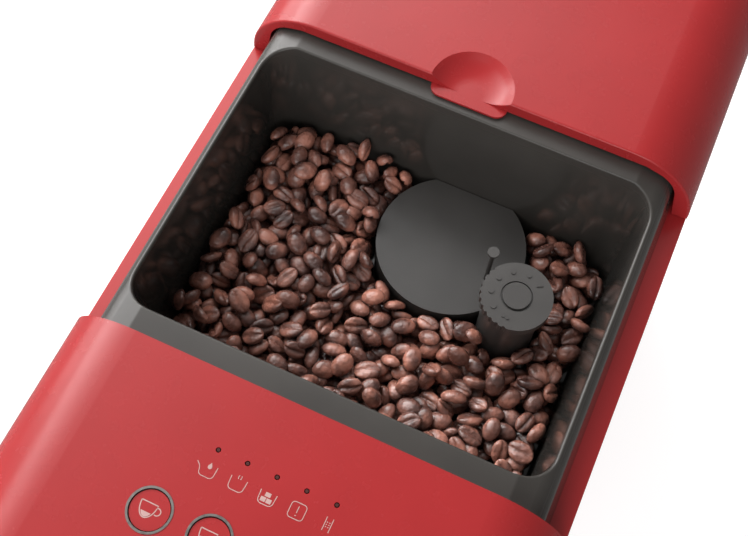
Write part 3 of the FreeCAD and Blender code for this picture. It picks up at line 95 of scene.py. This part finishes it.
# Middle range of a noise texture's values
NOISE_LOW, NOISE_HIGH = 0.3, 0.7

# Heights in m between which the hopper's glossy wall turns into its satin rim
RIM_FOOT, RIM_TOP = 0.322, 0.332

# Width in mm of the small rounded edges that moulding leaves
EDGES = {"front_cover": 0.5, "grinder_cover": 0.5, "grind_dial": 0.25}
EDGE_STEPS = 3
FLAT_ANGLE, EDGE_ANGLE = math.radians(0.4), math.radians(38)

# One bean: half sizes in mm from least to most, angles along and around it in degrees
BEAN_LENGTHS, BEAN_BREADTHS = (4.4, 5.3), (3.3, 3.9)
DOME_HEIGHTS, BELLY_DEPTHS = (2.6, 3.1), (1.5, 1.9)
BEAN_STATIONS = np.linspace(9, 171, 11)
DOME_TURNS = [15, 35, 55, 75, 90, 105, 125, 145, 165]
BELLY_TURNS = [-168, -145, -122, -107, -98, -90, -82, -73, -58, -35, -12]
BEAN_TIP, BELLY_CURVE = 0.1, 0.75

# Its crease: width and sway as shares of the half breadth, depth in mm, bend in radians
CREASE_WIDTH, CREASE_SWAYS = 0.16, (0.06, 0.2)
CREASE_DEPTH, CREASE_FADE, CREASE_BEND = 1.0, 0.6, 2.4

# The heap, in mm: its grid, its lowest and highest level, and its rise to both sides
HEAP_SEED, HEAP_FORMS = 7, 9
HEAP_CELL, HEAP_EDGE = 1.0, 3
HEAP_FOOT, HEAP_TOP = 1.5, 1.5
RISE_LEFT, RISE_RIGHT = 0.11, 0.05

# A bean on the heap, in mm: its half sizes, and the hump that it adds to the level
BEAN_TRIES = 10
BEAN_SCALES = (0.92, 1.06)
HALF_LENGTH, HALF_BREADTH = 4.7, 3.5
SEAT_PERCENT = 80
BEAN_LIFT, HUMP_TOP, HUMP_FALL, HUMP_SPREAD = 2.0, 4.3, 1.9, 22
FLIP_SHARE, ROLL_SPREAD, PITCH_SPREAD, LEAN_SHARE = 0.45, 0.35, 0.2, 0.8

# What stands in the heap, in mm: round corners of the walls, tower and post as x, y and radius
WALL_CORNER = 13.0
TOWER = (12.1, 17.6, 29.9)
POST = (43.9, -3.2, 11.3)

# Printed pictures, in mm: height over the surface, row of the lights, half widths of the lines
PRINT_LIFT = 0.06
LIGHT_PITCH, LIGHT_ROW, LIGHT_SCALE = 10, -109.9, 0.95
LIGHT_LINE, CUP_LINE = 0.13, 0.17

# Cups on the button caps: place and scale, the caps with two, and how high they are filled
BUTTONS, BUTTONS_WITH_TWO = 8, (3, 7)
ONE_CUP = ((-0.5, 1.2),)
TWO_CUPS = ((-2.5, 0.66), (2.3, 0.66))
CUP_DROP, FILL_FOOT, FILL_STEP = 0.1, -0.4, 0.5

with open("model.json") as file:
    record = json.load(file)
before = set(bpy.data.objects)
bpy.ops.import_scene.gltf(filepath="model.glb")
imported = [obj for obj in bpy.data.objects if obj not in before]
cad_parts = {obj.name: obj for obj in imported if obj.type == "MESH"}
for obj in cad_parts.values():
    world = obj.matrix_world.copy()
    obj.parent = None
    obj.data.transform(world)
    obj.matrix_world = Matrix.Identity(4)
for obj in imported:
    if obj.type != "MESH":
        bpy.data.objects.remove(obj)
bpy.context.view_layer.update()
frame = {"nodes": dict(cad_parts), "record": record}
nodes = frame["nodes"]
slot_of = {part["node"]: part["material_slot"] for part in frame["record"]["subparts"]}


# Camera at the photograph's place
def add_camera():
    back = Vector((math.sin(CAMERA_TURN) * math.cos(CAMERA_RISE),
                   -math.cos(CAMERA_TURN) * math.cos(CAMERA_RISE), math.sin(CAMERA_RISE)))
    right = (-back).cross(UP).normalized()
    up = right.cross(-back)
    across = right * math.cos(CAMERA_ROLL) + up * math.sin(CAMERA_ROLL)
    above = up * math.cos(CAMERA_ROLL) - right * math.sin(CAMERA_ROLL)
    data = bpy.data.cameras.new("camera")
    data.sensor_fit = "HORIZONTAL"
    data.sensor_width = CAMERA_SENSOR
    data.lens = CAMERA_LENS
    data.clip_start = CAMERA_CLIP
    camera = bpy.data.objects.new("camera", data)
    bpy.context.collection.objects.link(camera)
    place = Matrix((across, above, back)).transposed().to_4x4()
    place.translation = CAMERA_PLACE
    camera.matrix_world = place
    bpy.context.scene.camera = camera


# Value that goes from first to last between two distances along a heading
def slope(tree, source, heading, start, end, first, last):
    reach = tree.nodes.new("ShaderNodeVectorMath")
    reach.operation = "DOT_PRODUCT"
    reach.inputs[1].default_value = heading
    tree.links.new(source, reach.inputs[0])
    return remap(tree, reach.outputs["Value"], start, end, first, last)


def remap(tree, source, start, end, first, last):
    level = tree.nodes.new("ShaderNodeMapRange")
    level.inputs["From Min"].default_value = start
    level.inputs["From Max"].default_value = end
    level.inputs["To Min"].default_value = first
    level.inputs["To Max"].default_value = last
    tree.links.new(source, level.inputs["Value"])
    return level.outputs["Result"]


def add_area(name, centre, width, depth, radiance):
    data = bpy.data.lights.new(name, "AREA")
    data.shape = "RECTANGLE"
    data.size = width
    data.size_y = depth
    data.energy = math.pi * radiance * width * depth
    light = bpy.data.objects.new(name, data)
    bpy.context.collection.objects.link(light)
    light.location = centre
    return light


# Soft box over the left rear, brighter with distance, two panels, and a sky dimmer to the right
def add_light():
    heading = Vector((-math.sin(BOX_TURN), math.cos(BOX_TURN), 0))
    box = add_area("soft_box", heading * BOX_REACH + UP * BOX_HEIGHT, BOX_WIDTH, BOX_DEPTH, 1.0)
    box.rotation_euler = (0, 0, BOX_TURN)
    box.data.use_nodes = True
    tree = box.data.node_tree
    place = tree.nodes.new("ShaderNodeNewGeometry")
    tree.links.new(slope(tree, place.outputs["Position"], heading, BOX_NEAR, BOX_FAR,
                         BOX_NEAR_STRENGTH, BOX_FAR_STRENGTH),
                   tree.nodes["Emission"].inputs["Strength"])
    for name, (centre, width, depth, radiance) in PANELS.items():
        panel = add_area(name, centre, width, depth, radiance)
        panel.rotation_euler = (PANEL_AIM - Vector(centre)).to_track_quat("-Z", "Y").to_euler()
    world = bpy.data.worlds.new("studio")
    bpy.context.scene.world = world
    world.use_nodes = True
    tree = world.node_tree
    place = tree.nodes.new("ShaderNodeTexCoord")
    tree.links.new(slope(tree, place.outputs["Generated"], (1, 0, 0), -1, 1, SKY_LEFT, SKY_RIGHT),
                   tree.nodes["Background"].inputs["Strength"])
    tree.nodes["Background"].inputs["Color"].default_value = SKY_COLOUR
    bpy.context.scene.view_settings.view_transform = "Standard"


# Node helpers for the materials
def new_material(name):
    material = bpy.data.materials.new(name)
    material.use_nodes = True
    tree = material.node_tree
    return material, tree, tree.nodes["Principled BSDF"]


def speckle(tree, scale, detail, stretch=(1, 1, 1)):
    place = tree.nodes.new("ShaderNodeTexCoord")
    mapping = tree.nodes.new("ShaderNodeMapping")
    mapping.inputs["Scale"].default_value = stretch
    texture = tree.nodes.new("ShaderNodeTexNoise")
    texture.inputs["Scale"].default_value = scale
    texture.inputs["Detail"].default_value = detail
    tree.links.new(place.outputs["Object"], mapping.inputs["Vector"])
    tree.links.new(mapping.outputs["Vector"], texture.inputs["Vector"])
    return texture.outputs["Fac"]


def between(tree, source, low, high):
    return remap(tree, source, NOISE_LOW, NOISE_HIGH, low, high)


def shades(tree, source, *stops):
    ramp = tree.nodes.new("ShaderNodeValToRGB")
    marks = ramp.color_ramp.elements
    while len(marks) < len(stops):
        marks.new(0.5)
    for mark, (place, colour) in zip(marks, stops):
        mark.position = place
        mark.color = (*colour, 1)
    tree.links.new(source, ramp.inputs["Fac"])
    return ramp.outputs["Color"]


def emboss(tree, shader, source, strength, distance):
    node = tree.nodes.new("ShaderNodeBump")
    node.inputs["Strength"].default_value = strength
    node.inputs["Distance"].default_value = distance
    tree.links.new(source, node.inputs["Height"])
    tree.links.new(node.outputs["Normal"], shader.inputs["Normal"])


def tinted(colour, share):
    return tuple(channel * share for channel in colour)


# Moulded plastic: faint cloudiness and fine grain, and wear in the gloss where rough is given
def plastic(name, colour, rough, grain, depth, cloud, shine=0.5, wear=0.13):
    material, tree, shader = new_material(name)
    clouds = speckle(tree, scale=35, detail=3)
    tree.links.new(shades(tree, clouds, (0.35, tinted(colour, 1 - cloud)),
                          (0.65, tinted(colour, 1 + cloud))), shader.inputs["Base Color"])
    if rough is not None:
        worn = speckle(tree, scale=160, detail=4)
        tree.links.new(between(tree, worn, rough * (1 - wear), rough * (1 + wear)),
                       shader.inputs["Roughness"])
    emboss(tree, shader, speckle(tree, grain, detail=2), depth, 0.2 * MM)
    shader.inputs["Specular IOR Level"].default_value = shine
    return material


# Black of the hopper: glossy walls under a satin rim
def satin_rim(material):
    tree = material.node_tree
    place = tree.nodes.new("ShaderNodeNewGeometry")
    for socket, wall, rim in (("Roughness", 0.1, 0.36), ("Specular IOR Level", 0.5, 0.32)):
        tree.links.new(slope(tree, place.outputs["Position"], UP, RIM_FOOT, RIM_TOP, wall, rim),
                       tree.nodes["Principled BSDF"].inputs[socket])


# Metal, brushed along one axis where a stretch is given
def metal(name, colour, rough, stretch=(1, 1, 1)):
    material, tree, shader = new_material(name)
    brush = speckle(tree, scale=900, detail=3, stretch=stretch)
    tree.links.new(shades(tree, brush, (NOISE_LOW, tinted(colour, 0.86)), (NOISE_HIGH, colour)),
                   shader.inputs["Base Color"])
    tree.links.new(between(tree, brush, rough * 0.8, rough * 1.25), shader.inputs["Roughness"])
    emboss(tree, shader, brush, 0.08, 0.1 * MM)
    shader.inputs["Metallic"].default_value = 1
    return material


# Clear or smoked plastic
def clear_plastic(name, colour, rough):
    material, tree, shader = new_material(name)
    clouds = speckle(tree, scale=30, detail=2)
    tree.links.new(shades(tree, clouds, (NOISE_LOW, tinted(colour, 0.92)), (NOISE_HIGH, colour)),
                   shader.inputs["Base Color"])
    worn = speckle(tree, scale=220, detail=3)
    tree.links.new(between(tree, worn, rough * 0.7, rough * 1.4), shader.inputs["Roughness"])
    shader.inputs["Transmission Weight"].default_value = 0.85
    shader.inputs["IOR"].default_value = 1.49
    return material


# Roasted beans: brown to nearly black, with painted shade darkening the gaps between them and
# their creases, oily with a fine wrinkle
def roast(name):
    material, tree, shader = new_material(name)
    tone = shades(tree, speckle(tree, scale=95, detail=3), (0.34, (0.07, 0.03, 0.024)),
                  (0.5, (0.2, 0.082, 0.06)), (0.66, (0.46, 0.19, 0.134)))
    # Painted shade: occlusion scales the colour down to 0.28 in gaps and creases, and up to 1.2 on
    # open surfaces
    gap_shade = tree.nodes.new("ShaderNodeAmbientOcclusion")
    gap_shade.samples = 4
    gap_shade.inputs["Distance"].default_value = 5 * MM
    shade = tree.nodes.new("ShaderNodeVectorMath")
    shade.operation = "SCALE"
    tree.links.new(tone, shade.inputs[0])
    tree.links.new(between(tree, gap_shade.outputs["AO"], 0.28, 1.2), shade.inputs["Scale"])
    tree.links.new(shade.outputs["Vector"], shader.inputs["Base Color"])
    oil = speckle(tree, scale=260, detail=3)
    tree.links.new(between(tree, oil, 0.14, 0.34), shader.inputs["Roughness"])
    emboss(tree, shader, speckle(tree, scale=520, detail=5), 0.9, 1 * MM)
    shader.inputs["Coat Weight"].default_value = 0.6
    shader.inputs["Coat Roughness"].default_value = 0.12
    return material


def make_materials():
    made = {name: plastic(name, **look) for name, look in PLASTICS.items()}
    made |= {name: metal(name, **look) for name, look in METALS.items()}
    made |= {name: clear_plastic(name, **look) for name, look in CLEARS.items()}
    made["beans"] = roast("beans")
    satin_rim(made["black_gloss"])
    return made


def dress(thing, material):
    if thing.material_slots:
        for place in thing.material_slots:
            place.material = material
    else:
        thing.data.materials.append(material)


# Small rounded edges, as moulding leaves them
def soften(thing, reach):
    flat = thing.modifiers.new("flat_faces", "DECIMATE")
    flat.decimate_type = "DISSOLVE"
    flat.angle_limit = FLAT_ANGLE
    edge = thing.modifiers.new("edge", "BEVEL")
    edge.width = reach
    edge.segments = EDGE_STEPS
    edge.limit_method = "ANGLE"
    edge.angle_limit = EDGE_ANGLE
    edge.harden_normals = True


def add_piece(name, mesh, material, body):
    thing = bpy.data.objects.new(name, mesh)
    bpy.context.collection.objects.link(thing)
    mesh.materials.append(material)
    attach(thing, body)
    return thing


# One roasted bean: a dome over a flatter face with its crease, as points and faces
def bean_form(rng):
    length, breadth = rng.uniform(*BEAN_LENGTHS), rng.uniform(*BEAN_BREADTHS)
    dome, belly = rng.uniform(*DOME_HEIGHTS), rng.uniform(*BELLY_DEPTHS)
    sway = rng.uniform(*CREASE_SWAYS) * rng.choice((-1, 1))
    turns = np.radians(np.array(DOME_TURNS + BELLY_TURNS))
    stations = np.cos(np.radians(BEAN_STATIONS))
    points = [(length, 0, BEAN_TIP)]
    for along in stations:
        ring = math.sqrt(1 - along * along)
        for turn in turns:
            side, high = math.cos(turn) * ring, math.sin(turn) * ring
            if high >= 0:
                lift = dome * high
            else:
                off = (side - sway * math.sin(CREASE_BEND * along)) / CREASE_WIDTH
                lift = -belly * abs(high) ** BELLY_CURVE
                lift += CREASE_DEPTH * math.exp(-off * off) * ring ** CREASE_FADE
            points.append((length * along, breadth * side, lift))
    points.append((-length, 0, BEAN_TIP))
    count, last = len(turns), len(points) - 1
    faces = []
    for near in range(count):
        far = (near + 1) % count
        faces.append((0, 1 + far, 1 + near))
        for row in range(len(stations) - 1):
            start = 1 + row * count
            faces.append((start + near, start + far, start + count + far, start + count + near))
        start = 1 + (len(stations) - 1) * count
        faces.append((last, start + near, start + far))
    return np.array(points), faces


# Beans dropped one by one on the heap, each where it comes to lie lowest
def bean_heap():
    rng = random.Random(HEAP_SEED)
    forms = [bean_form(rng) for _ in range(HEAP_FORMS)]
    low = Vector(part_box("coffee_beans")[0]) / MM
    high = Vector(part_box("coffee_beans")[1]) / MM
    grid_x, grid_y = np.meshgrid(np.arange(low.x, high.x, HEAP_CELL),
                                 np.arange(low.y, high.y, HEAP_CELL), indexing="ij")
    clear = heap_room(grid_x, grid_y, low, high)
    level = np.full(grid_x.shape, low.z + HEAP_FOOT)
    surface = high.z + HEAP_TOP - grid_x * np.where(grid_x < 0, RISE_LEFT, RISE_RIGHT)
    points, faces, total = [], [], 0
    while (level - surface)[clear].mean() < 0:
        best = None
        turn = rng.uniform(0, math.tau)
        form, sides = rng.choice(forms)
        size = rng.uniform(*BEAN_SCALES)
        for _ in range(BEAN_TRIES):
            spot = (rng.uniform(low.x + HEAP_EDGE, high.x - HEAP_EDGE),
                    rng.uniform(low.y + HEAP_EDGE, high.y - HEAP_EDGE))
            under = bean_shadow(grid_x - spot[0], grid_y - spot[1], turn, size)
            if not under.any() or not clear[under].all():
                continue
            depth = (level - surface)[under].mean()
            if best is None or depth < best[0]:
                best = (depth, spot, under)
        if best is None:
            continue
        _, spot, under = best
        rest = np.percentile(level[under], SEAT_PERCENT)
        tilt = heap_slope(grid_x[under], grid_y[under], level[under])
        flip = math.pi if rng.random() < FLIP_SHARE else 0
        roll = rng.gauss(0, ROLL_SPREAD)
        pitch = rng.gauss(0, PITCH_SPREAD)
        turned = (tilt @ Matrix.Rotation(turn, 3, "Z") @ Matrix.Rotation(pitch, 3, "Y")
                  @ Matrix.Rotation(flip + roll, 3, "X"))
        placed = form * size @ np.array(turned).T
        placed += np.array((spot[0], spot[1], rest + BEAN_LIFT))
        reach = ((grid_x[under] - spot[0]) ** 2 + (grid_y[under] - spot[1]) ** 2) / HUMP_SPREAD
        hump = rest + HUMP_TOP - HUMP_FALL * np.minimum(reach, 1)
        level[under] = np.maximum(level[under], hump)
        points.append(placed)
        faces += [tuple(corner + total for corner in side) for side in sides]
        total += len(placed)
    return np.concatenate(points) * MM, faces


# Cells of the grid that a bean covers
def bean_shadow(x, y, turn, size):
    along = x * math.cos(turn) + y * math.sin(turn)
    across = y * math.cos(turn) - x * math.sin(turn)
    return (along / (HALF_LENGTH * size)) ** 2 + (across / (HALF_BREADTH * size)) ** 2 < 1


# Where beans may lie: inside the walls, clear of the grinder's tower and the dial's post
def heap_room(x, y, low, high):
    half_x, half_y = (high.x - low.x) / 2 - WALL_CORNER, (high.y - low.y) / 2 - WALL_CORNER
    out_x = np.maximum(np.abs(x - (low.x + high.x) / 2) - half_x, 0)
    out_y = np.maximum(np.abs(y - (low.y + high.y) / 2) - half_y, 0)
    room = np.hypot(out_x, out_y) < WALL_CORNER
    for centre_x, centre_y, radius in (TOWER, POST):
        room &= np.hypot(x - centre_x, y - centre_y) > radius
    return room


# Lean of the heap under a bean, as a turn of the upright
def heap_slope(x, y, z):
    table = np.c_[x - x.mean(), y - y.mean(), np.ones(len(x))]
    fit = np.linalg.lstsq(table, z, rcond=None)[0]
    lean = Vector((-fit[0] * LEAN_SHARE, -fit[1] * LEAN_SHARE, 1)).normalized()
    return UP.rotation_difference(lean).to_matrix()


def add_beans(material):
    points, faces = bean_heap()
    mesh = bpy.data.meshes.new("roasted_beans")
    mesh.from_pydata(points.tolist(), [], faces)
    mesh.shade_smooth()
    heap = add_piece("roasted_beans", mesh, material, "casing")
    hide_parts("coffee_beans")


# Printed pictures: flat lines and filled shapes just above the cover and the button caps
def arc(x, y, across, along, first, last, count=18):
    turns = np.radians(np.linspace(first, last, count))
    return [(x + across * math.cos(turn), y + along * math.sin(turn)) for turn in turns]


def drop(x, y, size):
    return [(x, y + size * 1.7)] + arc(x, y, size * 0.85, size * 0.85, 30, -210, 14)


def block(x, y, side, high):
    return [(x - side, y - high), (x + side, y - high), (x + side, y + high), (x - side, y + high)]


def basin(mouth):
    return ([(-mouth, 1.6)] + arc(-1.2, -1.2, 1.4, 1.4, 180, 270, 8)
            + arc(1.2, -1.2, 1.4, 1.4, 270, 360, 8) + [(mouth, 1.6)])


def shifted(lines, x, y, scale):
    return [[(x + u * scale, y + v * scale) for u, v in line] for line in lines]


# Cup with its handle, filled up to a level
def cup(x, y, scale, level):
    rim, bowl = (-2.6, 1.8), arc(-0.3, 1.8, 2.3, 3.9, 180, 360, 20)
    handle = arc(2.3, 0.4, 1.0, 0.95, -110, 110, 12)
    full = [(u * 0.78 - 0.07, v * 0.86 - 0.1) for u, v in bowl if v < level]
    return shifted([[*bowl, rim], handle], x, y, scale), shifted([full], x, y, scale)


# The lights' pictures as lines and filled shapes: jug, steam, blocks, warning and filter
def light_pictures():
    jug = [(-4.4, 1.2), (-3.4, 0.4), (-2.9, -0.3), *basin(2.7)[1:]]
    steam = [arc(-0.32, 1.9, 0.2, 0.55, 80, 280, 8), arc(0.32, 1.9, 0.2, 0.55, 100, -100, 8)]
    frame_line = [*arc(1.5, 1.5, 1.1, 1.1, 0, 90, 6), *arc(-1.5, 1.5, 1.1, 1.1, 90, 180, 6),
                  *arc(-1.5, -1.5, 1.1, 1.1, 180, 270, 6), *arc(1.5, -1.5, 1.1, 1.1, 270, 360, 6),
                  (2.6, 1.5)]
    return [
        ([jug], [drop(0.2, 0.9, 0.85)]),
        ([basin(2.8), *steam], []),
        ([basin(2.8)], [block(-1.0, -1.1, 0.88, 0.75), block(1.0, -1.1, 0.88, 0.75),
                        block(0, 0.7, 0.95, 0.7)]),
        ([frame_line, [(0, 1.6), (0, -0.7)]], [block(0, -1.5, 0.2, 0.2)]),
        ([[(-1.1, 2.5), (-1.1, -2.1)], [(1.1, 2.5), (1.1, -2.1)]],
         [block(x, y, 0.17, 0.17) for x in (-0.42, 0.42) for y in (-0.6, 0.15, 0.9)]),
    ]


def print_mesh(name, strokes, shapes, height, half_width):
    points, faces = [], []
    for stroke in strokes:
        path = np.array(stroke, float)
        ahead = np.gradient(path, axis=0)
        ahead /= np.linalg.norm(ahead, axis=1, keepdims=True)
        aside = np.c_[-ahead[:, 1], ahead[:, 0]] * half_width
        first, count = len(points), len(path)
        points += [*(path + aside), *(path - aside)]
        faces += [(first + n, first + count + n, first + count + n + 1, first + n + 1)
                  for n in range(count - 1)]
    for shape in shapes:
        faces.append(tuple(range(len(points), len(points) + len(shape))))
        points += shape
    mesh = bpy.data.meshes.new(name)
    mesh.from_pydata([(x * MM, y * MM, height * MM) for x, y in points], [], faces)
    return mesh


def add_light_pictures(material):
    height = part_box("front_cover")[1][2] / MM + PRINT_LIFT
    for number, (strokes, shapes) in enumerate(light_pictures()):
        x = LIGHT_PITCH * (number - 2)
        moved, filled = (shifted(group, x, LIGHT_ROW, LIGHT_SCALE) for group in (strokes, shapes))
        name = f"light_picture_{number + 1}"
        mesh = print_mesh(name, moved, filled, height, LIGHT_LINE)
        add_piece(name, mesh, material, "casing")


# One large cup on most caps, two small ones on the others
def add_button_pictures(material):
    for number in range(BUTTONS):
        low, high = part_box(f"drink_button_{number + 1}")
        x, y = (low[0] + high[0]) / 2 / MM, (low[1] + high[1]) / 2 / MM
        strokes, shapes = [], []
        for aside, scale in TWO_CUPS if number in BUTTONS_WITH_TWO else ONE_CUP:
            level = FILL_FOOT + FILL_STEP * (number % 3)
            lines, fills = cup(x + aside, y - CUP_DROP, scale, level)
            strokes += lines
            shapes += fills
        name = f"button_picture_{number + 1}"
        mesh = print_mesh(name, strokes, shapes, high[2] / MM + PRINT_LIFT, CUP_LINE)
        add_piece(name, mesh, material, f"button_{number + 1}")


# Pale floor that runs out of sight
def add_floor():
    reach = FLOOR_REACH
    mesh = bpy.data.meshes.new("floor")
    mesh.from_pydata([(-reach, -reach, 0), (reach, -reach, 0), (reach, reach, 0),
                      (-reach, reach, 0)], [], [(0, 1, 2, 3)])
    floor = bpy.data.objects.new("floor", mesh)
    bpy.context.collection.objects.link(floor)
    material, tree, shader = new_material("floor")
    clouds = speckle(tree, scale=3, detail=2)
    tree.links.new(shades(tree, clouds, (NOISE_LOW, (0.35, 0.35, 0.35)),
                          (NOISE_HIGH, (0.38, 0.38, 0.38))), shader.inputs["Base Color"])
    shader.inputs["Roughness"].default_value = 0.8
    shader.inputs["Emission Color"].default_value = (1, 1, 1, 1)
    shader.inputs["Emission Strength"].default_value = FLOOR_GLOW
    mesh.materials.append(material)
    floor.visible_glossy = False


add_camera()
add_light()
materials = make_materials()
for name, thing in nodes.items():
    dress(thing, materials[slot_of[name]])
for name, reach in EDGES.items():
    soften(nodes[name], reach * MM)
add_beans(materials["beans"])
add_light_pictures(materials["print_white"])
add_button_pictures(materials["print_white"])
add_floor()
